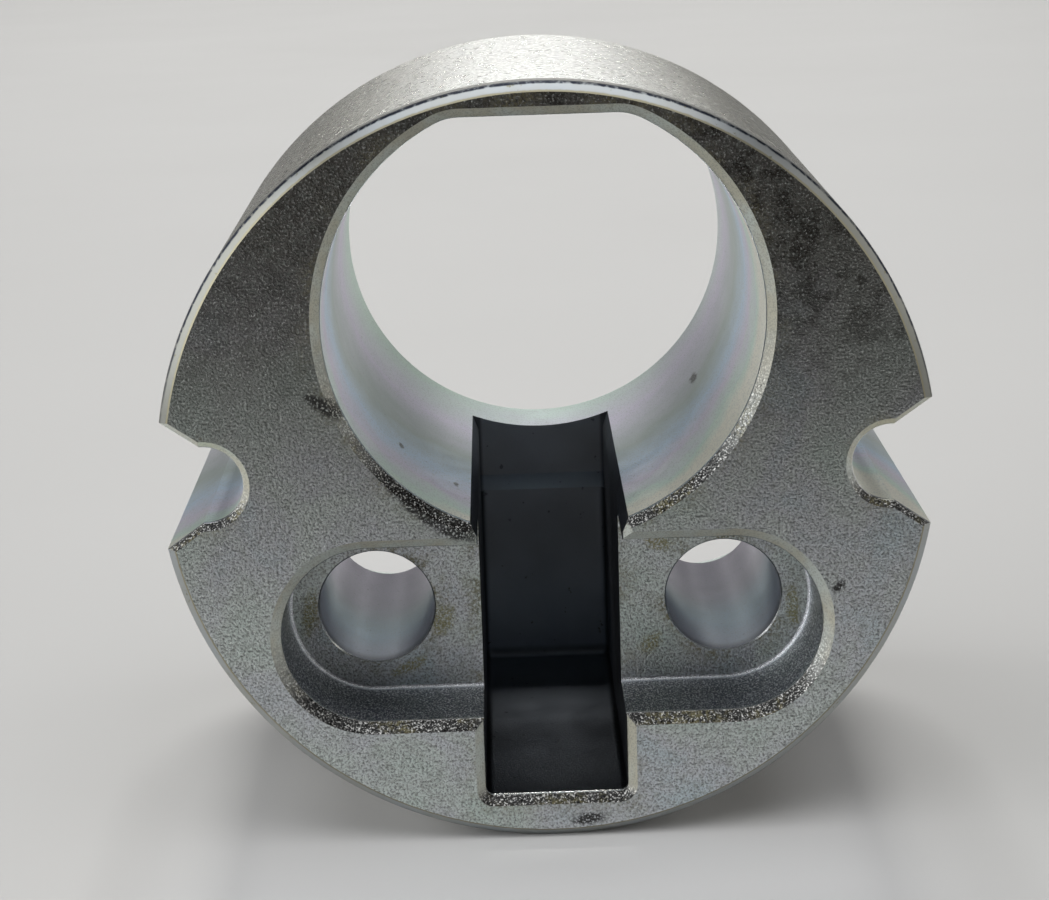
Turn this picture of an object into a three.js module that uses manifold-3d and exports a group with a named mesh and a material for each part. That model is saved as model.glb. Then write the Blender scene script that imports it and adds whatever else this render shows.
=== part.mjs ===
// One-piece hub of pressed and sintered steel, zinc plated.
// A thick round body carries a large shaft bore set above its centre, with a flat on the bore's crown.
// A blind key slot runs down from the bore, across a shallow recess that holds two screw holes,
// and one flared groove runs along each side.
//
// Millimetres. X is across the hub and +Z is up. Y runs along the bore, from the front face to the rear.
// The outlines below are drawn on the body's own axis, and depths are measured back from the front face.
// The finished hub is moved so that the origin is under its middle, on the line it lies on.
import * as THREE from 'three';
import { mergeVertices } from 'three/addons/utils/BufferGeometryUtils.js';
import Module from 'manifold-3d';

const body = { radius: 16, length: 22, frontChamfer: 0.35, rearTaper: 0.6, rearTaperLength: 2 };
const bore = { radius: 9, height: 6.4, flatHeight: 14.65, cornerRadius: 2.2, chamfer: 0.4 };
const recess = { radius: 3.8, depth: 4.2, chamfer: 0.45 };
const screwHole = { across: 7.5, height: -6.8, radius: 2.5, seat: 16.5, seatRadius: 3.3, rearRadius: 4.25 };
const slot = { width: 6, floor: -14.1, cornerRadius: 0.35, chamfer: 0.4, depth: 17.5 };
const slotStep = { extraDepth: 0.8, bottom: -5.55, rampHeight: 0.55 };
const slotMouth = { width: 6.6, low: -2.7, high: -1.9 };
const groove = { radius: 1.6, across: 14.1, flareStart: 14.2, flareAngle: 35, chamfer: 0.3 };

// Degrees between the points of an arc: fine on walls that show as round, coarse on small corners.
const FINE = 2.5;
const MEDIUM = 7.5;
const COARSE = 15;
// How far a cutting shape runs past the faces that it cuts.
const CLEAR = 1;

const wasm = await Module();
wasm.setup();

// Points of an arc, from one angle to another in degrees, both ends included.
function arcPoints(x, z, radius, from, to, step) {
  const [start, end] = [from, to].map(THREE.MathUtils.degToRad);
  const arc = new THREE.EllipseCurve(x, z, radius, radius, start, end);
  return arc.getPoints(Math.ceil(Math.abs(to - from) / step));
}

function circleOutline(x, z, radius, step) {
  return arcPoints(x, z, radius, 0, 360, step).slice(0, -1);
}

// A closed body through one outline drawn at several depths. Each station is [depth, grow],
// and outlineAt(grow) gives the same number of points for every grow.
function loft(outlineAt, stations) {
  const rings = stations.map(([, grow]) => outlineAt(grow));
  const count = rings[0].length;
  const atDepth = (ring, depth) => ring.flatMap((point) => [point.x, depth, point.y]);
  const positions = rings.flatMap((ring, k) => atDepth(ring, stations[k][0]));
  const faces = [];
  for (let k = 0; k < rings.length - 1; k += 1) {
    for (let i = 0; i < count; i += 1) {
      const j = (i + 1) % count;
      const [a, b, c, d] = [k * count + i, k * count + j, (k + 1) * count + j, (k + 1) * count + i];
      faces.push(a, c, b, a, d, c);
    }
  }
  const last = (rings.length - 1) * count;
  for (const [a, b, c] of THREE.ShapeUtils.triangulateShape(rings[0], [])) {
    faces.push(a, b, c);
  }
  for (const [a, b, c] of THREE.ShapeUtils.triangulateShape(rings[rings.length - 1], [])) {
    faces.push(last + a, last + c, last + b);
  }
  const geometry = new THREE.BufferGeometry();
  geometry.setAttribute('position', new THREE.Float32BufferAttribute(positions, 3));
  geometry.setIndex(faces);
  return geometry;
}

function solid(geometry) {
  const shape = geometry.clone();
  shape.deleteAttribute('normal');
  shape.deleteAttribute('uv');
  const merged = mergeVertices(shape, 1e-5);
  return new wasm.Manifold(new wasm.Mesh({
    numProp: 3,
    vertProperties: new Float32Array(merged.attributes.position.array),
    triVerts: new Uint32Array(merged.index.array),
  }));
}

function geometryOf(manifold) {
  const mesh = manifold.getMesh();
  const geometry = new THREE.BufferGeometry();
  geometry.setAttribute('position', new THREE.BufferAttribute(mesh.vertProperties, 3));
  geometry.setIndex(new THREE.BufferAttribute(mesh.triVerts, 1));
  geometry.computeVertexNormals();
  return geometry;
}

// The mouth of a cut: wide outside the front face, closing over the chamfer to the true outline.
function chamferedMouth(chamfer) {
  return [[-CLEAR, chamfer + CLEAR], [chamfer, 0]];
}

// The same at the rear face.
function chamferedExit(chamfer) {
  return [[body.length - chamfer, 0], [body.length + CLEAR, chamfer + CLEAR]];
}

function roundBody() {
  return loft((grow) => circleOutline(0, 0, body.radius + grow, FINE), [
    [0, -body.frontChamfer],
    [body.frontChamfer, 0],
    [body.length - body.rearTaperLength, 0],
    [body.length, -body.rearTaper],
  ]);
}

// The bore's outline is a circle whose crown is cut off flat, which keeps a wall above it.
// A small arc blends each end of the flat into the circle.
function boreOutline(grow) {
  const radius = bore.radius + grow;
  const corner = bore.cornerRadius + grow;
  const rise = bore.flatHeight - bore.height - bore.cornerRadius;
  const across = Math.sqrt((bore.radius - bore.cornerRadius) ** 2 - rise ** 2);
  const turn = THREE.MathUtils.radToDeg(Math.atan2(rise, across));
  return [
    ...arcPoints(-across, bore.height + rise, corner, 90, 180 - turn, MEDIUM),
    ...arcPoints(0, bore.height, radius, 180 - turn, 360 + turn, FINE).slice(1, -1),
    ...arcPoints(across, bore.height + rise, corner, turn, 90, MEDIUM),
  ];
}

function shaftBore() {
  return loft(boreOutline, [...chamferedMouth(bore.chamfer), ...chamferedExit(bore.chamfer)]);
}

// Two half circles round the screw holes, joined by straight sides.
function recessOutline(grow) {
  const radius = recess.radius + grow;
  return [
    ...arcPoints(screwHole.across, screwHole.height, radius, -90, 90, MEDIUM),
    ...arcPoints(-screwHole.across, screwHole.height, radius, 90, 270, MEDIUM),
  ];
}

function screwRecess() {
  return loft(recessOutline, [...chamferedMouth(recess.chamfer), [recess.depth, 0]]);
}

// A plain hole from the recess to its seat, then a wider pocket that opens out towards the rear.
function screwHoleCut(side) {
  const x = side * screwHole.across;
  const outline = (grow) => circleOutline(x, screwHole.height, screwHole.radius + grow, MEDIUM);
  const step = screwHole.seatRadius - screwHole.radius;
  const spread = (screwHole.rearRadius - screwHole.seatRadius) / (body.length - screwHole.seat);
  return loft(outline, [
    [recess.depth - CLEAR, 0],
    [screwHole.seat, 0],
    [screwHole.seat, step],
    [body.length + CLEAR, step + spread * (body.length + CLEAR - screwHole.seat)],
  ]);
}

// Straight sides with rounded lower corners. The top end lies inside the bore.
function slotOutline(grow) {
  const half = slot.width / 2 + grow;
  const corner = slot.cornerRadius + grow;
  const low = slot.floor - grow + corner;
  return [
    new THREE.Vector2(half, bore.height),
    new THREE.Vector2(-half, bore.height),
    ...arcPoints(-half + corner, low, corner, 180, 270, COARSE),
    ...arcPoints(half - corner, low, corner, 270, 360, COARSE),
  ];
}

function keySlot() {
  return loft(slotOutline, [...chamferedMouth(slot.chamfer), [slot.depth, 0]]);
}

// The upper part of the slot's rear wall is set back, with a short ramp below it.
function slotSetBack() {
  const rear = slot.depth + slotStep.extraDepth;
  const profile = new THREE.Shape([
    new THREE.Vector2(slot.depth - CLEAR, slotStep.bottom),
    new THREE.Vector2(slot.depth, slotStep.bottom),
    new THREE.Vector2(rear, slotStep.bottom + slotStep.rampHeight),
    new THREE.Vector2(rear, bore.height),
    new THREE.Vector2(slot.depth - CLEAR, bore.height),
  ]);
  const geometry = new THREE.ExtrudeGeometry(profile, { depth: slot.width, bevelEnabled: false });
  // Stand the profile up: its first axis becomes Y, its second Z, and its thickness runs along X.
  const upright = new THREE.Matrix4().makeBasis(
    new THREE.Vector3(0, 1, 0),
    new THREE.Vector3(0, 0, 1),
    new THREE.Vector3(1, 0, 0),
  );
  return geometry.applyMatrix4(upright).translate(-slot.width / 2, 0, 0);
}

// The slot's sides lean apart a little where they meet the bore.
function slotLeadIn() {
  const outline = () => [
    new THREE.Vector2(-slot.width / 2, slotMouth.low),
    new THREE.Vector2(slot.width / 2, slotMouth.low),
    new THREE.Vector2(slotMouth.width / 2, slotMouth.high),
    new THREE.Vector2(slotMouth.width / 2, bore.height),
    new THREE.Vector2(-slotMouth.width / 2, bore.height),
    new THREE.Vector2(-slotMouth.width / 2, slotMouth.high),
  ];
  return loft(outline, [[-CLEAR, 0], [slot.depth + slotStep.extraDepth, 0]]);
}

// A round-bottomed groove along the side of the body, whose lips flare out to the surface.
function grooveOutline(side, grow) {
  const radius = groove.radius + grow;
  const reach = body.radius + CLEAR;
  const flare = (reach - groove.flareStart) * Math.tan(groove.flareAngle * THREE.MathUtils.DEG2RAD);
  const points = [
    new THREE.Vector2(groove.flareStart, -radius),
    new THREE.Vector2(reach, -radius - flare),
    new THREE.Vector2(reach, radius + flare),
    new THREE.Vector2(groove.flareStart, radius),
    ...arcPoints(groove.across, 0, radius, 90, 270, MEDIUM),
  ];
  return side > 0 ? points : points.map((point) => new THREE.Vector2(-point.x, point.y)).reverse();
}

function sideGroove(side) {
  const outline = (grow) => grooveOutline(side, grow);
  return loft(outline, [...chamferedMouth(groove.chamfer), ...chamferedExit(groove.chamfer)]);
}

function hubBody() {
  const cuts = [
    shaftBore(),
    screwRecess(),
    screwHoleCut(-1),
    screwHoleCut(1),
    keySlot(),
    slotSetBack(),
    slotLeadIn(),
    sideGroove(-1),
    sideGroove(1),
  ];
  const hub = cuts.reduce((rest, cut) => rest.subtract(solid(cut)), solid(roundBody()));
  const zincPlate = new THREE.MeshStandardMaterial({ color: 0x8f9596, roughness: 0.45, metalness: 0.9 });
  const mesh = new THREE.Mesh(geometryOf(hub), zincPlate);
  mesh.name = 'hub_body';
  return mesh;
}

const coupling = new THREE.Group();
coupling.add(hubBody());
coupling.position.set(0, -body.length / 2, body.radius);

export default coupling;
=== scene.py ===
"""Looks for a one-piece coupling hub of pressed, sintered and zinc-plated steel."""

import math

import bpy
from mathutils import Matrix, Vector


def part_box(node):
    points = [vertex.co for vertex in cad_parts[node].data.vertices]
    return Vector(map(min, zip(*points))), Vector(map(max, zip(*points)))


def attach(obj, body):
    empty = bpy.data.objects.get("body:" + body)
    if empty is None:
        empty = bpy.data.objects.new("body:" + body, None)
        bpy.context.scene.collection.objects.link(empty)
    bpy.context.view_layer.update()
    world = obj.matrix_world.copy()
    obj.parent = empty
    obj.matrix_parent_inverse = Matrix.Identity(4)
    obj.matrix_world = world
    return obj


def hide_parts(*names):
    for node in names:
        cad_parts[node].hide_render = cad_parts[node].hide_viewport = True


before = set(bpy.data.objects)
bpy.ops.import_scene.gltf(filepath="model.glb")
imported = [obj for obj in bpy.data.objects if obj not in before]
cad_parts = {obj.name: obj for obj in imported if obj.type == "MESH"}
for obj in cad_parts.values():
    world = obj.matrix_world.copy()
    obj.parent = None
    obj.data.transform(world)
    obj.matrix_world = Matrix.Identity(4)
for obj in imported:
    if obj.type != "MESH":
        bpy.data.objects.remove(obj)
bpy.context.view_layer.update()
LOW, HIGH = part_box("hub_body")
MM = 0.001

# Millimetres, measured on the body's own axis: x across, z up, depth back from the front face.
RADIUS = (HIGH.z - LOW.z) / 2 / MM
LENGTH = (HIGH.y - LOW.y) / MM
BODY_CHAMFER = 0.35
BODY_LAND = 1.3
REAR_TAPER = 0.6
REAR_TAPER_LENGTH = 2.0
BORE_RADIUS = 9.0
BORE_HEIGHT = 6.4
BORE_FLAT = 8.25
BORE_CORNER = 2.2
BORE_CHAMFER = 0.4
HOLE_ACROSS = 7.5
HOLE_HEIGHT = -6.8
HOLE_RADIUS = 2.5
HOLE_SEAT = 16.5
SEAT_RADIUS = 3.3
REAR_RADIUS = 4.25
RECESS_RADIUS = 3.8
RECESS_DEPTH = 4.2
RECESS_CHAMFER = 0.45
RECESS_FILLET = 0.15
SLOT_HALF = 3.0
SLOT_FLOOR = -14.1
SLOT_CORNER = 0.35
SLOT_CHAMFER = 0.4
SLOT_DEPTH = 17.5
SLOT_FILLET = 0.3
SLOT_STEP_HEIGHT = -5.55
SLOT_STEP_RAMP = 0.55
SLOT_SET_BACK = 0.8
SLOT_MOUTH_HALF = 3.3
SLOT_MOUTH_LOW = -2.7
SLOT_MOUTH_HIGH = -1.9
GROOVE_RADIUS = 1.6
GROOVE_ACROSS = 14.1
GROOVE_FLARE_START = 14.2
GROOVE_FLARE = math.radians(35)
GROOVE_CHAMFER = 0.3

# How far a cutting shape runs past the faces that it cuts.
CLEAR = 1.0
# The spacing of points on broken edges, fine enough to carry the metal's grain.
GRAIN_STEP = 0.085
# The spacing round the body's outside and round the screw holes, which stay smooth.
BODY_STEP = 0.3
HOLE_STEP = 0.2
# A narrow strip beside each rounded edge, which keeps the shading of the wall beyond it level.
HOLD = 0.06
# The rounding of the crest between a broken edge and its wall.
CREST = 0.12
# The small easing of the blank's own corners, and of the screw holes' front rims.
BODY_EASE = 0.1
HOLE_EASE = 0.06
# The grain that is raised in the broken edges, and the bend above which an edge is drawn sharp.
GRAIN_SIZE = 0.13
GRAIN_DEPTH = 0.13
GRAIN_SEED = 3.0
CREASE_ANGLE = math.radians(24)

# The camera: its place as x, depth and z in millimetres, its lens, and its turns.
EYE = (-1.54, -94.46, 26.47)
LENS = 82.4
PITCH = math.radians(15.03)
YAW = math.radians(0.37)
ROLL = math.radians(1.87)


# ---------------------------------------------------------------- nodes

class Value:
    """A number that varies over a surface. Arithmetic on it adds Math nodes."""

    def __init__(self, nodes, socket):
        self.nodes = nodes
        self.socket = socket

    def math(self, operation, *values):
        socket = self.nodes.socket("ShaderNodeMath", {"operation": operation}, dict(enumerate(values)))
        return Value(self.nodes, socket)

    def __add__(self, other):
        return self.math("ADD", self, other)

    def __radd__(self, other):
        return self.math("ADD", other, self)

    def __sub__(self, other):
        return self.math("SUBTRACT", self, other)

    def __rsub__(self, other):
        return self.math("SUBTRACT", other, self)

    def __mul__(self, other):
        return self.math("MULTIPLY", self, other)

    def __rmul__(self, other):
        return self.math("MULTIPLY", other, self)

    def __truediv__(self, other):
        return self.math("DIVIDE", self, other)

    def __rtruediv__(self, other):
        return self.math("DIVIDE", other, self)

    def __abs__(self):
        return self.math("ABSOLUTE", self)

    def clamp(self):
        return self.math("MINIMUM", self.at_least(0.0), 1.0)

    def at_least(self, other):
        return self.math("MAXIMUM", self, other)

    def hypot(self, other):
        total = self * self + other * other
        return total.math("SQRT", total)

    def ramp(self, low, high):
        """0 below low, 1 above high and a smooth rise between, or a fall where low is above high."""
        settings = {"interpolation_type": "SMOOTHSTEP"}
        inputs = {"Value": self, "From Min": low, "From Max": high}
        return Value(self.nodes, self.nodes.socket("ShaderNodeMapRange", settings, inputs))


class Nodes:
    """A node tree that is built node by node."""

    def __init__(self, tree):
        self.tree = tree
        tree.nodes.clear()

    def add(self, kind, settings=None, inputs=None):
        """One node: its type, its settings, then the values or links of its sockets."""
        node = self.tree.nodes.new(kind)
        for name, setting in (settings or {}).items():
            if name == "stops":
                self.set_stops(node.color_ramp, setting)
            else:
                setattr(node, name, setting)
        for name, given in (inputs or {}).items():
            given = given.socket if isinstance(given, Value) else given
            if isinstance(given, bpy.types.NodeSocket):
                self.tree.links.new(given, node.inputs[name])
            else:
                node.inputs[name].default_value = given
        return node

    def socket(self, kind, settings=None, inputs=None, output=0):
        """One output of a new node."""
        return self.add(kind, settings, inputs).outputs[output]

    def blend(self, share, under, over):
        """Two colours mixed by a share from 0 to 1."""
        colours = [(*colour, 1) if isinstance(colour, tuple) else colour for colour in (under, over)]
        inputs = {0: share, 6: colours[0], 7: colours[1]}
        return self.socket("ShaderNodeMix", {"data_type": "RGBA"}, inputs, 2)

    @staticmethod
    def set_stops(ramp, stops):
        while len(ramp.elements) < len(stops):
            ramp.elements.new(0.5)
        for element, (position, colour) in zip(ramp.elements, stops):
            element.position = position
            element.color = (*colour, 1)


class Finish(Nodes):
    """One material, with the place on the hub in millimetres: x across, depth from the front, z up."""

    def __init__(self, name):
        self.material = bpy.data.materials.new(name)
        self.material.use_nodes = True
        super().__init__(self.material.node_tree)
        metres = self.socket("ShaderNodeTexCoord", output="Object")
        settings = {"operation": "SCALE"}
        self.millimetres = self.socket("ShaderNodeVectorMath", settings, {0: metres, "Scale": 1 / MM})
        split = self.add("ShaderNodeSeparateXYZ", {}, {0: self.millimetres})
        self.x = Value(self, split.outputs["X"])
        self.depth = Value(self, split.outputs["Y"]) - LOW.y / MM
        self.z = Value(self, split.outputs["Z"]) - (LOW.z / MM + RADIUS)

    def stretched(self, across=1.0, along=1.0, up=1.0):
        """The place in millimetres, scaled along each axis."""
        inputs = {0: self.millimetres, 1: (across, along, up)}
        return self.socket("ShaderNodeVectorMath", {"operation": "MULTIPLY"}, inputs)

    def carried(self, name):
        """A number that the mesh carries on its points."""
        return Value(self, self.socket("ShaderNodeAttribute", {"attribute_name": name}, output="Fac"))

    def noise(self, per_mm, detail=2.0, rough=0.5, where=None, distortion=0.0):
        inputs = {"Vector": where or self.millimetres, "Scale": per_mm, "Detail": detail,
                  "Roughness": rough, "Distortion": distortion}
        return Value(self, self.socket("ShaderNodeTexNoise", {}, inputs))

    def colours(self, position, stops):
        return self.socket("ShaderNodeValToRGB", {"stops": stops}, {0: position}, "Color")

    def bump(self, height, depth_mm):
        return self.socket("ShaderNodeBump", {}, {"Height": height, "Distance": depth_mm * MM})

    def metal(self, colour, roughness, normal, metallic=1.0, edge_tint=1.0):
        inputs = {"Base Color": colour, "Roughness": roughness, "Normal": normal, "Metallic": metallic,
                  "Specular Tint": (edge_tint, edge_tint, edge_tint, 1)}
        shader = self.socket("ShaderNodeBsdfPrincipled", {}, inputs)
        self.add("ShaderNodeOutputMaterial", {}, {"Surface": shader})
        return self.material


# ---------------------------------------------------------------- finishes

PLATE = (0.69, 0.74, 0.72)
PLATE_DARK = (0.38, 0.42, 0.42)
PALE_GREEN = (0.59, 0.74, 0.66)
LILAC = (0.66, 0.63, 0.76)
PALE_BLUE = (0.53, 0.67, 0.82)
CREAM = (0.80, 0.79, 0.68)
GREY_GREEN = (0.42, 0.50, 0.48)
OLIVE = (0.20, 0.18, 0.09)
YELLOW_OLIVE = (0.34, 0.31, 0.11)
SOOT = (0.018, 0.017, 0.016)

# Marks on the front face: x, z, length, width in millimetres, and the turn of the length in degrees.
FACE_MARKS = (
    (-9.0, 3.2, 1.1, 0.42, -35),
    (-5.35, -1.25, 2.3, 0.42, -42),
    (-3.7, -2.3, 1.2, 0.5, -18),
    (1.3, -15.2, 0.9, 0.28, 8),
    (11.9, -5.2, 0.35, 0.25, 40),
)
# Olive smears on the recess's floor, given the same way.
RECESS_SMEARS = (
    (-4.75, -7.5, 0.85, 0.6, 65),
    (-10.4, -7.0, 1.2, 0.35, 80),
    (-6.2, -9.6, 1.0, 0.3, 25),
    (4.3, -8.9, 0.7, 0.45, 50),
    (10.5, -7.4, 1.1, 0.35, 95),
    (4.7, -4.3, 0.8, 0.4, -20),
)
# Small spots on the bore's wall: x, depth, z and radius.
BORE_SPOTS = ((7.0, 13.0, 0.8, 0.28), (-6.2, 6.0, -0.1, 0.16), (-3.9, 5.2, -1.75, 0.14))


def bore_gap(f):
    """Millimetres outward from the bore's rim."""
    return f.x.hypot(f.z - BORE_HEIGHT) - BORE_RADIUS


def slot_gap(f):
    """Millimetres outward from the sides of the slot, below the bore."""
    return (abs(f.x) - SLOT_HALF).at_least(SLOT_FLOOR - f.z)


def hole_gap(f):
    """Millimetres outward from the nearer screw hole."""
    return (abs(f.x) - HOLE_ACROSS).hypot(f.z - HOLE_HEIGHT) - HOLE_RADIUS


def groove_gap(f):
    """Millimetres outward from the nearer groove."""
    return (abs(f.x) - GROOVE_ACROSS).hypot(f.z) - GROOVE_RADIUS


def strongest(values):
    """The largest of several values at each point."""
    total, *others = values
    for value in others:
        total = total.at_least(value)
    return total


def mark(f, x, z, length, width, turn):
    """A smudge on the face with a ragged edge."""
    angle = math.radians(turn)
    dx = f.x - x
    dz = f.z - z
    along = (dx * math.cos(angle) + dz * math.sin(angle)) / length
    across = (dz * math.cos(angle) - dx * math.sin(angle)) / width
    ragged = along.hypot(across) + (f.noise(3.2, 4.0, 0.65) - 0.5) * 1.3
    return ragged.ramp(1.15, 0.45)


def marks(f, spots):
    return strongest([mark(f, *spot) for spot in spots])


def bore_spot(f, x, depth, z, radius):
    """A small ragged spot on the bore's wall, longer along the bore than round it."""
    reach = (f.x - x).hypot(f.z - z).hypot((f.depth - depth) * 0.35) / radius
    return (reach + (f.noise(4.0, 3.0, 0.6) - 0.5) * 1.2).ramp(1.1, 0.5)


def grime(f, gap, reach, share):
    """Dirt that gathers in the grain beside an edge, in patches."""
    patches = f.noise(0.55, 3.0, 0.6).ramp(0.42, 0.62)
    speckle = f.noise(7.0, 3.0, 0.7).ramp(0.38, 0.62)
    return abs(gap).ramp(reach, 0.0) * patches * speckle * share


def grain_height(f, per_mm=15.0):
    """The lumpy skin of pressed powder: rounded grains with fine pores between them."""
    lumps = f.noise(per_mm, 1.0, 0.5)
    fine = f.noise(per_mm * 2.3, 2.0, 0.5)
    return lumps * 0.65 + fine * 0.35


def passivation(f, share):
    """Faint patches of green, lilac and blue in the plating."""
    drift = f.noise(0.22, 3.0, 0.55, distortion=0.4)
    tints = f.colours(drift, ((0.34, PALE_GREEN), (0.46, PLATE), (0.56, LILAC), (0.68, PALE_BLUE)))
    return f.blend(share, PLATE, tints)


def pressed_face():
    """The flat faces: grain, painted shade over the upper front, painted glints, dirt beside the edges and
    smudges.
    """
    f = Finish("pressed face")
    dull, painted_top_shade, mottled = (0.11, 0.10, 0.088), (0.035, 0.03, 0.025), (0.25, 0.265, 0.245)
    pore, glint, faint_glint = (0.10, 0.10, 0.095), (0.80, 0.82, 0.80), (0.72, 0.73, 0.70)
    height = grain_height(f, 10.0)
    mottle = f.noise(6.5, 3.0, 0.7)
    front = f.depth.ramp(1.0, 0.5)
    recessed = f.depth.ramp(2.0, 3.0)

    colour = passivation(f, 0.35)
    # Painted shade: the front face is darkened towards its top, where it reflects the dark room.
    colour = f.blend(f.z.ramp(-9.0, 12.0) * front * 0.95, colour, dull)
    # Painted shade in patches over the top of the front face, stronger towards the right.
    top_shade_patches = f.noise(0.9, 4.0, 0.7).ramp(0.45, 0.60) * f.z.ramp(0.0, 10.0) * front
    colour = f.blend(top_shade_patches * (f.x.ramp(-8.0, 8.0) * 0.45 + 0.4), colour, painted_top_shade)
    colour = f.blend(mottle.ramp(0.52, 0.40) * 0.45, colour, mottled)
    colour = f.blend(height.ramp(0.52, 0.38) * 0.6, colour, pore)
    # Painted glints: the tops of the grains are lightened.
    colour = f.blend(height.ramp(0.56, 0.66) * 0.5, colour, glint)
    colour = f.blend(f.noise(6.0, 4.0, 0.75).ramp(0.58, 0.66) * 0.22, colour, faint_glint)

    smears = marks(f, RECESS_SMEARS) * f.noise(11.0, 3.0, 0.7).ramp(0.40, 0.56) * recessed
    dirt = strongest([grime(f, bore_gap(f), 1.5, 0.6), grime(f, hole_gap(f), 1.3, 0.9),
                      grime(f, slot_gap(f), 1.2, 0.8), grime(f, groove_gap(f), 1.0, 0.6), smears * 0.6])
    colour = f.blend(dirt, colour, OLIVE)
    colour = f.blend(smears * 0.5, colour, YELLOW_OLIVE)
    soot = marks(f, FACE_MARKS) * f.depth.ramp(0.6, 0.2) * 0.95
    colour = f.blend(soot * height.ramp(0.62, 0.52), colour, SOOT)

    roughness = 0.33 + (f.noise(0.8, 3.0) - 0.5) * 0.14 + dirt * 0.3 + soot * 0.1
    metallic = 1.0 - dirt * 0.6 - soot * 0.6
    return f.metal(colour, roughness, f.bump(height * 0.75 + mottle * 0.25, 0.08), metallic.clamp())


def broken_edge():
    """Bevels: coarse bright and dark grains where they face up, and a dull cream skin elsewhere."""
    f = Finish("broken edge")
    green_grey, cream_grey, worn = (0.68, 0.73, 0.68), (0.62, 0.60, 0.49), (0.34, 0.34, 0.29)
    grain, crevice = (0.55, 0.55, 0.53), (0.025, 0.025, 0.025)
    rough = f.carried("roughened")
    height = grain_height(f, 13.0)
    colour = f.blend(f.noise(0.5, 3.0, 0.6).ramp(0.35, 0.65), green_grey, cream_grey)
    colour = f.blend(height.ramp(0.50, 0.40) * 0.5, colour, worn)
    colour = f.blend(rough, colour, grain)
    colour = f.blend(height.ramp(0.61, 0.53) * rough * 0.97, colour, crevice)
    dirt = f.noise(0.6, 3.0, 0.6).ramp(0.46, 0.62) * f.noise(6.0, 2.0, 0.6).ramp(0.4, 0.6)
    colour = f.blend(dirt * rough * 0.5, colour, OLIVE)
    colour = f.blend(marks(f, FACE_MARKS) * height.ramp(0.62, 0.52) * 0.9, colour, SOOT)
    roughness = 0.30 + (f.noise(5.0, 2.0) - 0.5) * 0.3 * rough
    normal = f.bump(height * (rough * 0.8 + 0.2), 0.03)
    return f.metal(colour, roughness, normal, rough * 0.6 + 0.4)


def clean_edge():
    """Rounded crests that are rubbed bright, with a few olive nicks."""
    f = Finish("clean edge")
    blue_grey, cream_grey = (0.74, 0.77, 0.80), (0.70, 0.69, 0.62)
    colour = f.blend(f.noise(0.5, 3.0, 0.6), blue_grey, cream_grey)
    nicks = f.noise(4.0, 3.0, 0.7)
    colour = f.blend(nicks.ramp(0.62, 0.70) * 0.5, colour, OLIVE)
    roughness = 0.24 + (nicks - 0.5) * 0.2
    return f.metal(colour, roughness, f.bump(nicks, 0.01))


def rolled_rim():
    """The body's front edge: a bright bevel, a thin painted dark reflection on its crest over the upper part,
    then a dull land.
    """
    f = Finish("rolled rim")
    blue_grey, warm_grey, shaded = (0.42, 0.47, 0.53), (0.40, 0.39, 0.33), (0.21, 0.205, 0.17)
    land_dark, land_light = (0.20, 0.20, 0.19), (0.34, 0.34, 0.32)
    front_lip, painted_crest_reflection = (0.30, 0.28, 0.20), (0.022, 0.026, 0.038)
    nicks = f.noise(3.0, 3.0, 0.65)
    edge = f.depth + (nicks - 0.5) * 0.07
    bevel = f.blend(f.noise(0.4, 3.0, 0.6), blue_grey, warm_grey)
    bevel = f.blend(abs(f.x).ramp(7.0, 13.0) * f.z.ramp(-2.0, 2.0) * 0.75, bevel, shaded)
    land = f.blend(f.noise(7.0, 2.0, 0.6).ramp(0.40, 0.60), land_dark, land_light)
    colour = f.blend(edge.ramp(0.09, 0.03), bevel, front_lip)
    # Painted dark reflection along the crest, on the upper part of the rim only.
    line = edge.ramp(BODY_CHAMFER - 0.12, BODY_CHAMFER - 0.06) * f.z.ramp(0.0, 7.0)
    line = line * (nicks.ramp(0.34, 0.52) * 0.6 + 0.4)
    colour = f.blend(line, colour, painted_crest_reflection)
    colour = f.blend(edge.ramp(BODY_CHAMFER + 0.12, BODY_CHAMFER + 0.22), colour, land)
    colour = f.blend(nicks.ramp(0.64, 0.74) * 0.7, colour, OLIVE)
    roughness = 0.34 + edge.ramp(BODY_CHAMFER, BODY_CHAMFER + 0.2) * 0.12
    return f.metal(colour, roughness, f.bump(grain_height(f) * 0.5 + nicks * 0.5, 0.012))


def outer_skin():
    """The round outside: a painted highlight at the crown and painted shade, dull brown, at the sides, with
    painted glints and pores.
    """
    f = Finish("outer skin")
    crown, painted_side_shade = (0.86, 0.87, 0.85), (0.16, 0.15, 0.115)
    pore, glint = (0.045, 0.043, 0.032), (0.96, 0.96, 0.93)
    streaks = f.noise(9.0, 3.0, 0.75, where=f.stretched(0.6, 1.0, 0.8))
    height = streaks * 0.8 + f.noise(24.0, 1.0, 0.5) * 0.2
    colour = passivation(f, 0.25)
    # Painted highlight on the crown, fading to painted shade down the sides; the pores show more strongly in
    # the shade.
    side_shade_share = abs(f.x).ramp(1.0, 9.0)
    colour = f.blend(side_shade_share * 0.9, crown, painted_side_shade)
    colour = f.blend(height.ramp(0.51, 0.44) * (side_shade_share * 0.2 + 0.65), colour, pore)
    # Painted glints on the raised streaks.
    colour = f.blend(height.ramp(0.56, 0.62) * 0.7, colour, glint)
    roughness = 0.30 + (f.noise(2.0, 3.0) - 0.5) * 0.25
    return f.metal(colour, roughness, f.bump(height, 0.13))


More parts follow.
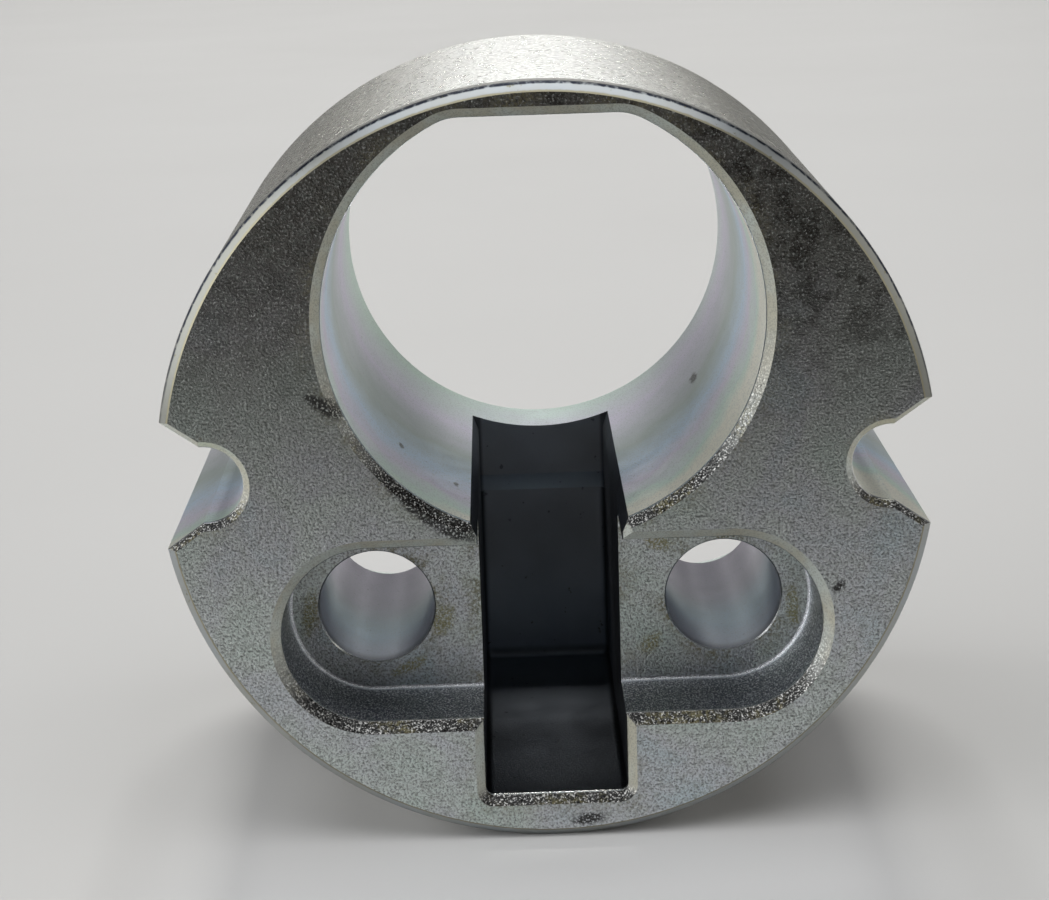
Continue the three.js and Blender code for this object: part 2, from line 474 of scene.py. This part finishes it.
def burnished_wall():
    """The smooth walls of the bore, the holes and the grooves, with bands of colour in the plating."""
    f = Finish("burnished wall")
    blue_green, violet, shadow = (0.36, 0.44, 0.47), (0.45, 0.39, 0.50), (0.12, 0.13, 0.16)
    wander = (f.noise(0.16, 3.0, 0.55) - 0.5) * 7.0 + (f.noise(1.3, 2.0, 0.6) - 0.5) * 1.3
    wander = wander - f.x * f.z.ramp(-4.0, 0.0) * 0.2
    banding = ((f.depth + wander) / LENGTH).clamp()
    colour = f.colours(banding, ((0.02, CREAM), (0.09, PALE_GREEN), (0.20, LILAC), (0.32, PALE_BLUE),
                                 (0.50, GREY_GREEN), (0.72, LILAC), (1.0, PALE_GREEN)))
    rear_of_others = bore_gap(f).ramp(0.5, 1.5) * f.depth.ramp(10.0, 16.0)
    colour = f.blend(rear_of_others * 0.5, colour, PLATE)
    screw_wall = f.blend(f.depth.ramp(8.0, 12.0), blue_green, violet)
    colour = f.blend(abs(hole_gap(f)).ramp(0.5, 0.1) * 0.65, colour, screw_wall)
    pores = f.noise(5.5, 2.0, 0.6)
    colour = f.blend(pores.ramp(0.68, 0.76) * 0.55, colour, SOOT)
    spots = strongest([bore_spot(f, *spot) for spot in BORE_SPOTS])
    colour = f.blend(spots * 0.9, colour, SOOT)
    ring = abs(hole_gap(f)).ramp(0.3, 0.0) * f.depth.ramp(RECESS_DEPTH + 0.9, RECESS_DEPTH + 0.1)
    colour = f.blend(ring * 0.7, colour, shadow)
    fine = f.noise(14.0, 2.0, 0.5, where=f.stretched(1.0, 0.5, 1.0))
    colour = f.blend(fine.ramp(0.50, 0.36) * 0.4, colour, PLATE_DARK)
    roughness = 0.37 + (f.noise(1.0, 3.0) - 0.5) * 0.14
    return f.metal(colour, roughness, f.bump(fine * 0.6 + pores * 0.4, 0.008))


def slot_wall():
    """The slot with painted shade: blackest on the front of its floor and beside its side walls, with painted
    light low in its deep part.
    """
    f = Finish("slot wall")
    blue_grey, grey, painted_rear_light = (0.36, 0.40, 0.47), (0.40, 0.41, 0.42), (0.62, 0.69, 0.78)
    painted_floor_shade, corner, glint = (0.038, 0.042, 0.048), (0.05, 0.055, 0.065), (0.30, 0.31, 0.31)
    height = grain_height(f, 12.0)
    near_front = f.depth.ramp(11.0, 2.0)
    deep = f.depth.ramp(7.0, 16.0)
    colour = f.blend(f.noise(0.35, 3.0), blue_grey, grey)
    # Painted light low in the deep part of the slot, where the walls reflect the dark floor.
    colour = f.blend(f.z.ramp(-7.0, -12.0) * deep, colour, painted_rear_light)
    # Painted shade over the slot's floor, darkest towards the front.
    low = f.z.ramp(SLOT_FLOOR + 0.6, SLOT_FLOOR + 0.1) * (1.0 - deep * 0.2)
    colour = f.blend(low * 0.95, colour, painted_floor_shade)
    # Painted shade on and beside the side walls.
    beside = abs(f.x).ramp(SLOT_HALF - 0.2, SLOT_HALF - 0.02)
    colour = f.blend(beside * 0.65, colour, corner)
    # Painted glints on the grain tops near the front.
    colour = f.blend(height.ramp(0.60, 0.70) * near_front * 0.25, colour, glint)
    spots = f.noise(2.4, 2.0, 0.5).ramp(0.70, 0.76)
    colour = f.blend(spots * 0.5, colour, SOOT)
    roughness = 0.34 + (f.noise(0.7, 2.0) - 0.5) * 0.16 + deep * 0.25
    normal = f.bump(height * (0.2 + near_front * 0.8), 0.03)
    return f.metal(colour, roughness, normal, edge_tint=0.25)


def recess_wall():
    """Dark streaked steel with painted glints, and a painted highlight along its foot."""
    f = Finish("recess wall")
    dark, grey = (0.10, 0.115, 0.14), (0.22, 0.24, 0.26)
    glint, painted_foot_highlight = (0.94, 0.96, 0.97), (0.88, 0.90, 0.94)
    streaks = f.noise(13.0, 3.0, 0.7, where=f.stretched(1.0, 0.6, 1.0))
    height = streaks * 0.6 + grain_height(f) * 0.4
    colour = f.blend(f.noise(0.8, 2.0), dark, grey)
    # Painted glints on the streaks.
    colour = f.blend(height.ramp(0.50, 0.56), colour, glint)
    # Painted highlight along the fillet at the foot of the wall.
    lowest = f.depth.ramp(RECESS_DEPTH - RECESS_FILLET - 0.1, RECESS_DEPTH - RECESS_FILLET + 0.05)
    colour = f.blend(lowest * 0.8, colour, painted_foot_highlight)
    roughness = 0.34 + (f.noise(2.0, 2.0) - 0.5) * 0.2 - lowest * 0.12
    return f.metal(colour, roughness, f.bump(height, 0.05))


PRESSED, BROKEN, CLEAN, RIM, SKIN, BURNISHED, SLOT, RECESS = range(8)
FINISHES = [pressed_face(), broken_edge(), clean_edge(), rolled_rim(), outer_skin(), burnished_wall(),
            slot_wall(), recess_wall()]


# ---------------------------------------------------------------- outlines

def place(x, depth, z):
    """A point on the hub, from millimetres on its own axis to metres in the shared frame."""
    return Vector((x * MM, LOW.y + depth * MM, LOW.z + (RADIUS + z) * MM))


def arc(x, z, radius, start, end, count):
    """Points of an arc between two angles in degrees, both ends included."""
    turns = [math.radians(start + (end - start) * i / count) for i in range(count + 1)]
    return [(x + radius * math.cos(turn), z + radius * math.sin(turn)) for turn in turns]


def arc_count(radius, degrees, step=GRAIN_STEP):
    """How many parts an arc is divided into, to keep its points about one step apart."""
    return max(3, math.ceil(math.radians(degrees) * radius / step))


def joined(runs, base):
    """One closed outline through several runs of points. The straight gaps between them are divided as evenly
    as the same gaps are in base, so that every copy of the outline has the same number of points."""
    points = []
    for i, run in enumerate(runs):
        x, z = run[-1]
        after_x, after_z = runs[(i + 1) % len(runs)][0]
        gap = math.dist(base[i][-1], base[(i + 1) % len(base)][0])
        count = max(1, math.ceil(gap / GRAIN_STEP))
        points += run
        points += [(x + (after_x - x) * k / count, z + (after_z - z) * k / count) for k in range(1, count)]
    return points


def circle(x, z, radius, step):
    """An outline is a function of how far it grows outward, in millimetres. This one is round."""
    count = arc_count(radius, 360, step)
    return lambda grow: arc(x, z, radius + grow, 0, 360, count)[:-1]


def bore_outline(grow):
    """A circle with a flat crown between two small corners."""
    rise = BORE_FLAT - BORE_CORNER
    across = math.sqrt((BORE_RADIUS - BORE_CORNER) ** 2 - rise ** 2)
    turn = math.degrees(math.atan2(rise, across))
    corner_count = arc_count(BORE_CORNER, 90 - turn)
    wall_count = arc_count(BORE_RADIUS, 180 + 2 * turn)

    def runs(extra):
        corner = BORE_CORNER + extra
        left = arc(-across, BORE_HEIGHT + rise, corner, 90, 180 - turn, corner_count)
        wall = arc(0, BORE_HEIGHT, BORE_RADIUS + extra, 180 - turn, 360 + turn, wall_count)
        right = arc(across, BORE_HEIGHT + rise, corner, turn, 90, corner_count)
        return [left + wall[1:-1] + right]
    return joined(runs(grow), runs(0))


def recess_outline(grow):
    """A racetrack round both screw holes."""
    count = arc_count(RECESS_RADIUS, 180)

    def runs(extra):
        radius = RECESS_RADIUS + extra
        return [arc(HOLE_ACROSS, HOLE_HEIGHT, radius, -90, 90, count),
                arc(-HOLE_ACROSS, HOLE_HEIGHT, radius, 90, 270, count)]
    return joined(runs(grow), runs(0))


def slot_outline(grow):
    """From the middle of the bore down to a floor with small corners."""
    count = arc_count(SLOT_CORNER, 90) + 2

    def runs(extra):
        half, corner = SLOT_HALF + extra, SLOT_CORNER + extra
        low = SLOT_FLOOR - extra + corner
        return [[(half, BORE_HEIGHT), (-half, BORE_HEIGHT)],
                arc(-half + corner, low, corner, 180, 270, count),
                arc(half - corner, low, corner, 270, 360, count)]
    return joined(runs(grow), runs(0))


def slot_mouth_outline(grow):
    """The slot's upper end, opened out a little to both sides. It has no bevel, so it never grows."""
    left = [(-SLOT_MOUTH_HALF, BORE_HEIGHT), (-SLOT_MOUTH_HALF, SLOT_MOUTH_HIGH),
            (-SLOT_HALF, SLOT_MOUTH_LOW)]
    return left + [(-x, z) for x, z in reversed(left)]


def groove_outline(side):
    """A round groove that flares towards the outside of the body, on the left or the right."""
    count = arc_count(GROOVE_RADIUS, 180)
    reach = RADIUS + CLEAR
    flare = (reach - GROOVE_FLARE_START) * math.tan(GROOVE_FLARE)

    def runs(extra):
        radius = GROOVE_RADIUS + extra
        lower = [(GROOVE_FLARE_START, -radius), (reach, -radius - flare)]
        upper = [(reach, radius + flare), (GROOVE_FLARE_START, radius)]
        ordered = [lower, upper, arc(GROOVE_ACROSS, 0, radius, 90, 270, count)]
        if side > 0:
            return ordered
        return [[(-x, z) for x, z in reversed(run)] for run in reversed(ordered)]

    def outline(grow):
        given = [[point] for run in runs(grow) for point in run]
        base = [[point] for run in runs(0) for point in run]
        return joined(given, base)
    return outline


# ---------------------------------------------------------------- solids

def solid(name, rings, bands, caps):
    """A closed mesh through rings of points, with a finish for each band between rings and for each end."""
    count = len(rings[0])
    faces = [tuple(range(count))]
    finishes = [caps[0]]
    for k, finish in enumerate(bands):
        a, b = k * count, (k + 1) * count
        faces += [(a + i, b + i, b + (i + 1) % count, a + (i + 1) % count) for i in range(count)]
        finishes += [finish] * count
    last = (len(rings) - 1) * count
    faces.append(tuple(range(last + count - 1, last - 1, -1)))
    finishes.append(caps[1])
    mesh = bpy.data.meshes.new(name)
    mesh.from_pydata([point for ring in rings for point in ring], [], faces)
    for material in FINISHES:
        mesh.materials.append(material)
    mesh.polygons.foreach_set("material_index", finishes)
    mesh.update()
    thing = bpy.data.objects.new(name, mesh)
    bpy.context.scene.collection.objects.link(thing)
    return thing


def loft(name, outline, stations, caps):
    """A solid through one outline. Each station is (depth, grow, finish of the band that follows it)."""
    rings = [[place(x, depth, z) for x, z in outline(grow)] for depth, grow, _ in stations]
    return solid(name, rings, [finish for _, _, finish in stations[:-1]], caps)


def mouth(chamfer, wall):
    """Stations from outside the front face, down a broken edge and over its crest to a wall."""
    reach = CREST * math.tan(math.pi / 8)
    start, end = -0.6 * GRAIN_STEP, chamfer - reach * math.sqrt(0.5)
    count = math.ceil((end - start) / GRAIN_STEP * math.sqrt(2))
    slope = [start + (end - start) * i / count for i in range(count)]
    crest = [(chamfer + reach - CREST * math.sin(turn), CREST * (1 - math.cos(turn)))
             for turn in (math.pi / 4, math.pi / 8, 0)]
    stations = [(-CLEAR, chamfer + CLEAR, BROKEN)]
    stations += [(depth, chamfer - depth, BROKEN) for depth in slope]
    stations += [(depth, grow, CLEAN) for depth, grow in crest[:-1]]
    return stations + [(*crest[-1], wall), (crest[-1][0] + HOLD, 0, wall)]


def through(chamfer, wall):
    """The same at both faces, for a cut that runs right through."""
    front = mouth(chamfer, wall)
    rear = [(LENGTH - depth, grow) for depth, grow, _ in reversed(front)]
    bands = [finish for _, _, finish in front[:-1]][::-1] + [BROKEN]
    return front + [(depth, grow, finish) for (depth, grow), finish in zip(rear, bands)]


def foot(depth, fillet, finish):
    """Stations round the foot of a wall, ending on its floor."""
    stations = [(depth - fillet - HOLD, 0, finish)]
    for turn in (math.pi / 2 * i / 4 for i in range(5)):
        stations.append((depth - fillet * (1 - math.sin(turn)), -fillet * (1 - math.cos(turn)), finish))
    return stations


def blank():
    """The round body before it is cut, with an eased front edge and a tapered rear."""
    ease = BODY_EASE
    stations = [(0, -BODY_CHAMFER - ease * 0.4, RIM), (ease * 0.3, -BODY_CHAMFER, RIM),
                (BODY_CHAMFER - ease, -ease, RIM), (BODY_CHAMFER - ease * 0.1, -ease * 0.25, RIM),
                (BODY_CHAMFER + ease, 0, RIM), (BODY_CHAMFER + ease + HOLD, 0, RIM), (BODY_LAND, 0, SKIN),
                (LENGTH - REAR_TAPER_LENGTH, 0, SKIN), (LENGTH - ease, -REAR_TAPER + ease * 0.3, CLEAN),
                (LENGTH, -REAR_TAPER - ease, CLEAN)]
    return loft("hub_finish", circle(0, 0, RADIUS, BODY_STEP), stations, (PRESSED, PRESSED))


def hole(side):
    """A plain hole from the recess to its seat, then a wider pocket that opens out towards the rear."""
    step = SEAT_RADIUS - HOLE_RADIUS
    spread = (REAR_RADIUS - SEAT_RADIUS) / (LENGTH - HOLE_SEAT)
    ease = HOLE_EASE
    stations = [(RECESS_DEPTH - CLEAR, ease, BURNISHED), (RECESS_DEPTH - 0.01, ease, CLEAN),
                (RECESS_DEPTH + ease, 0, BURNISHED), (HOLE_SEAT, 0, PRESSED),
                (HOLE_SEAT + 0.001, step, BURNISHED),
                (LENGTH + CLEAR, step + spread * (LENGTH + CLEAR - HOLE_SEAT), BURNISHED)]
    outline = circle(side * HOLE_ACROSS, HOLE_HEIGHT, HOLE_RADIUS, HOLE_STEP)
    return loft("screw hole", outline, stations, (BURNISHED, BURNISHED))


def slot_set_back():
    """The upper part of the slot's rear wall, set back above a short ramp."""
    rear = SLOT_DEPTH + SLOT_SET_BACK
    profile = [(SLOT_DEPTH - CLEAR, SLOT_STEP_HEIGHT), (SLOT_DEPTH, SLOT_STEP_HEIGHT),
               (rear, SLOT_STEP_HEIGHT + SLOT_STEP_RAMP), (rear, BORE_HEIGHT),
               (SLOT_DEPTH - CLEAR, BORE_HEIGHT)]
    rings = [[place(x, depth, z) for depth, z in profile] for x in (SLOT_HALF, -SLOT_HALF)]
    return solid("slot set back", rings, [SLOT], (SLOT, SLOT))


def cuts():
    """Every cutting shape in turn, each made only when the one before it has been used."""
    yield loft("shaft bore", bore_outline, through(BORE_CHAMFER, BURNISHED), (BURNISHED, BURNISHED))
    yield loft("screw recess", recess_outline,
               mouth(RECESS_CHAMFER, RECESS) + foot(RECESS_DEPTH, RECESS_FILLET, RECESS), (RECESS, PRESSED))
    yield hole(-1)
    yield hole(1)
    yield loft("key slot", slot_outline,
               mouth(SLOT_CHAMFER, SLOT) + foot(SLOT_DEPTH, SLOT_FILLET, SLOT), (SLOT, SLOT))
    yield slot_set_back()
    yield loft("slot lead-in", slot_mouth_outline,
               [(-CLEAR, 0, SLOT), (SLOT_DEPTH + SLOT_SET_BACK, 0, SLOT)], (SLOT, SLOT))
    for side in (-1, 1):
        yield loft("side groove", groove_outline(side), through(GROOVE_CHAMFER, BURNISHED),
                   (BURNISHED, BURNISHED))


def settle(thing):
    """Turns a thing's modifiers into its plain mesh."""
    graph = bpy.context.evaluated_depsgraph_get()
    made = bpy.data.meshes.new_from_object(thing.evaluated_get(graph))
    thing.modifiers.clear()
    thing.data = made


def cut_out(thing):
    """Cuts every opening from a thing, each with its own finish on the walls that it leaves."""
    for tool in cuts():
        cut = thing.modifiers.new(tool.name, "BOOLEAN")
        cut.operation = "DIFFERENCE"
        cut.solver = "EXACT"
        cut.material_mode = "TRANSFER"
        cut.object = tool
        settle(thing)
        bpy.data.objects.remove(tool)


# ---------------------------------------------------------------- grain

class GeometryTree(Nodes):
    """A Geometry Nodes tree with named inputs."""

    def __init__(self, name, inputs):
        super().__init__(bpy.data.node_groups.new(name, "GeometryNodeTree"))
        interface = self.tree.interface
        interface.new_socket("Geometry", in_out="INPUT", socket_type="NodeSocketGeometry")
        interface.new_socket("Geometry", in_out="OUTPUT", socket_type="NodeSocketGeometry")
        self.keys = {}
        for label, kind in inputs.items():
            made = interface.new_socket(label, in_out="INPUT", socket_type=kind)
            self.keys[label] = made.identifier
        self.given = self.add("NodeGroupInput").outputs

    def put_on(self, thing, values):
        """Runs the tree on a thing, with its inputs set by label, and keeps the result as a plain mesh."""
        run = thing.modifiers.new(self.tree.name, "NODES")
        run.node_group = self.tree
        for label, value in values.items():
            run[self.keys[label]] = value
        settle(thing)


def edge_grain():
    """Lumps of pressed powder along the broken edges: points move in and out, but the rims stay clean."""
    tree = GeometryTree("edge grain", {
        "Grain size": "NodeSocketFloat", "Grain depth": "NodeSocketFloat", "Seed": "NodeSocketFloat",
        "Crease angle": "NodeSocketFloat", "Broken edge": "NodeSocketMaterial",
        "Level face": "NodeSocketMaterial", "Low corner": "NodeSocketVector",
        "High corner": "NodeSocketVector"})
    given, node = tree.given, tree.socket

    # Points that only broken faces touch.
    broken = node("GeometryNodeMaterialSelection", {}, {"Material": given["Broken edge"]})
    other = node("FunctionNodeBooleanMath", {"operation": "NOT"}, {0: broken})
    touching = node("GeometryNodeFieldOnDomain", {"domain": "FACE", "data_type": "BOOLEAN"}, {0: other})
    inside = node("FunctionNodeBooleanMath", {"operation": "NOT"}, {0: touching})

    # Bevels that face up are rough, and the others nearly smooth. The finishes read this from the points.
    facing = node("ShaderNodeSeparateXYZ", {}, {0: node("GeometryNodeInputNormal")}, "Z")
    upward = node("ShaderNodeMapRange", {},
                  {"Value": facing, "From Min": 0.0, "From Max": 0.5, "To Min": 0.02})
    on_points = {"data_type": "FLOAT", "domain": "POINT"}
    kept = node("GeometryNodeStoreNamedAttribute", on_points,
                {"Geometry": given["Geometry"], "Name": "roughened", "Value": upward})

    # Each of those points moves by a noise.
    per_metre = node("ShaderNodeMath", {"operation": "DIVIDE"}, {0: 1.0, 1: given["Grain size"]})
    noise = node("ShaderNodeTexNoise", {"noise_dimensions": "4D"},
                 {"W": given["Seed"], "Scale": per_metre, "Detail": 2.0}, "Color")
    centred = node("ShaderNodeVectorMath", {"operation": "SUBTRACT"}, {0: noise, 1: (0.5, 0.5, 0.5)})
    amount = node("ShaderNodeMath", {"operation": "MULTIPLY"}, {0: upward, 1: given["Grain depth"]})
    lump = node("ShaderNodeVectorMath", {"operation": "SCALE"}, {0: centred, "Scale": amount})
    shifted = node("GeometryNodeSetPosition", {}, {"Geometry": kept, "Selection": inside, "Offset": lump})

    # No point leaves the box of the body.
    here = node("GeometryNodeInputPosition")
    above = node("ShaderNodeVectorMath", {"operation": "MAXIMUM"}, {0: here, 1: given["Low corner"]})
    within = node("ShaderNodeVectorMath", {"operation": "MINIMUM"}, {0: above, 1: given["High corner"]})
    moved = node("GeometryNodeSetPosition", {}, {"Geometry": shifted, "Position": within})

    # Sharp bends stay sharp, rough bevels are faceted and the large faces are flat.
    angle = node("GeometryNodeInputMeshEdgeAngle", output="Unsigned Angle")
    soft = node("FunctionNodeCompare", {"operation": "LESS_THAN"}, {0: angle, 1: given["Crease angle"]})
    smooth = node("GeometryNodeSetShadeSmooth", {"domain": "EDGE"}, {"Geometry": moved, 2: soft})
    roughened = node("GeometryNodeInputNamedAttribute", {"data_type": "FLOAT"}, {"Name": "roughened"})
    rough = node("FunctionNodeCompare", {"operation": "GREATER_THAN"}, {0: roughened, 1: 0.4})
    faceted = node("FunctionNodeBooleanMath", {"operation": "AND"}, {0: broken, 1: rough})
    level = node("GeometryNodeMaterialSelection", {}, {"Material": given["Level face"]})
    rounded = node("FunctionNodeBooleanMath", {"operation": "NOR"}, {0: faceted, 1: level})
    shaded = node("GeometryNodeSetShadeSmooth", {"domain": "FACE"}, {"Geometry": smooth, 2: rounded})

    whole = node("GeometryNodeRealizeInstances", {}, {"Geometry": shaded})
    finished = node("GeometryNodeSetMaterial", {},
                    {"Geometry": whole, "Selection": broken, "Material": given["Broken edge"]})
    tree.add("NodeGroupOutput", {}, {"Geometry": finished})
    return tree


def hub():
    thing = blank()
    cut_out(thing)
    edge_grain().put_on(thing, {
        "Grain size": GRAIN_SIZE * MM, "Grain depth": GRAIN_DEPTH * MM, "Seed": GRAIN_SEED,
        "Crease angle": CREASE_ANGLE, "Broken edge": FINISHES[BROKEN], "Level face": FINISHES[PRESSED],
        "Low corner": LOW, "High corner": HIGH})
    return thing


# ---------------------------------------------------------------- studio

def camera():
    """A long lens, a little above the bore's axis and tipped slightly to one side."""
    data = bpy.data.cameras.new("camera")
    data.sensor_width = 36.0
    data.lens = LENS
    data.clip_start = 0.01
    eye = bpy.data.objects.new("camera", data)
    bpy.context.scene.collection.objects.link(eye)
    aim = Matrix.Rotation(-YAW, 4, "Z") @ Matrix.Rotation(math.pi / 2 - PITCH, 4, "X")
    eye.matrix_world = Matrix.Translation(place(*EYE)) @ aim @ Matrix.Rotation(-ROLL, 4, "Z")
    bpy.context.scene.camera = eye


def softbox(name, where, aim, size, watts, colour):
    data = bpy.data.lights.new(name, "AREA")
    data.shape = "RECTANGLE"
    data.size, data.size_y = size
    data.energy = watts
    data.color = colour
    lamp = bpy.data.objects.new(name, data)
    bpy.context.scene.collection.objects.link(lamp)
    lamp.location = where
    lamp.rotation_euler = (Vector(aim) - Vector(where)).to_track_quat("-Z", "Y").to_euler()


def table_top():
    """A wide pale floor: painted light round the hub that lifts its shadow, painted shade to its right and
    painted shade on the camera's side.
    """
    mesh = bpy.data.meshes.new("floor")
    mesh.from_pydata([(-2, -1.5, 0), (2, -1.5, 0), (2, 2.5, 0), (-2, 2.5, 0)], [], [(0, 1, 2, 3)])
    top = bpy.data.objects.new("floor", mesh)
    bpy.context.scene.collection.objects.link(top)
    f = Finish("pale table")
    pale, greyer = (0.50, 0.497, 0.49), (0.47, 0.466, 0.458)
    lit, dull, shaded = (0.84, 0.835, 0.825), (0.42, 0.42, 0.415), (0.045, 0.045, 0.046)
    colour = f.blend(f.noise(0.02, 2.0), pale, greyer)
    # Painted light round the hub, which lifts the hub's own shadow.
    painted_light_share = f.depth.ramp(22.0, 4.0) * f.depth.ramp(-16.0, -5.0) * abs(f.x).ramp(19.5, 11.5)
    colour = f.blend(painted_light_share, colour, lit)
    # Painted shade to the right of the hub.
    colour = f.blend(f.x.ramp(10.0, 24.0) * f.depth.ramp(30.0, 0.0) * 0.9, colour, dull)
    shade = (f.depth + f.noise(0.02, 2.0) * 10.0).ramp(-20.0, -105.0)
    colour = f.blend(shade, colour, shaded)
    mesh.materials.append(f.metal(colour, 0.5 + f.noise(0.05) * 0.1, f.bump(f.noise(2.0), 0.004), 0.0))


def room():
    """A pale wall low behind the hub, a dim room above it and a dark one on the camera's side."""
    world = bpy.data.worlds.new("room")
    bpy.context.scene.world = world
    world.use_nodes = True
    sky = Nodes(world.node_tree)
    pale_wall, dim, dark = (0.36, 0.36, 0.35), (0.045, 0.049, 0.06), (0.015, 0.015, 0.016)
    split = sky.add("ShaderNodeSeparateXYZ", {}, {0: sky.socket("ShaderNodeTexCoord", output="Generated")})
    up = Value(sky, split.outputs["Z"])
    back = Value(sky, split.outputs["Y"])
    behind = sky.blend(up.ramp(0.18, 0.42), pale_wall, dim)
    colour = sky.blend(back.ramp(-0.35, 0.25), dark, behind)
    glow = sky.socket("ShaderNodeBackground", {}, {"Color": colour})
    sky.add("ShaderNodeOutputWorld", {}, {"Surface": glow})


def studio():
    cool, warm = (0.98, 0.985, 1.0), (1.0, 0.99, 0.96)
    bpy.context.scene.view_settings.view_transform = "Standard"
    room()
    table_top()
    softbox("ceiling", (0, -0.28, 1.4), (0, 0, 0), (1.8, 1.2), 10.5, cool)
    softbox("rear", (0, 0.6, 1.0), (0, 0, 0.02), (0.4, 0.3), 9.0, warm)
    softbox("rear window", (0, 1.8, 0.26), (0, 0, 0.03), (0.75, 0.36), 0.65, warm)
    softbox("left", (-1.2, -0.35, 0.5), (0, 0, 0), (1.6, 1.0), 11.5, (0.98, 0.99, 1.0))
    softbox("right", (1.2, -0.1, 0.5), (0, 0, 0), (1.4, 0.9), 3.2, (1.0, 0.99, 0.97))


camera()
studio()
body = hub()
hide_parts("hub_body")
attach(body, "root")
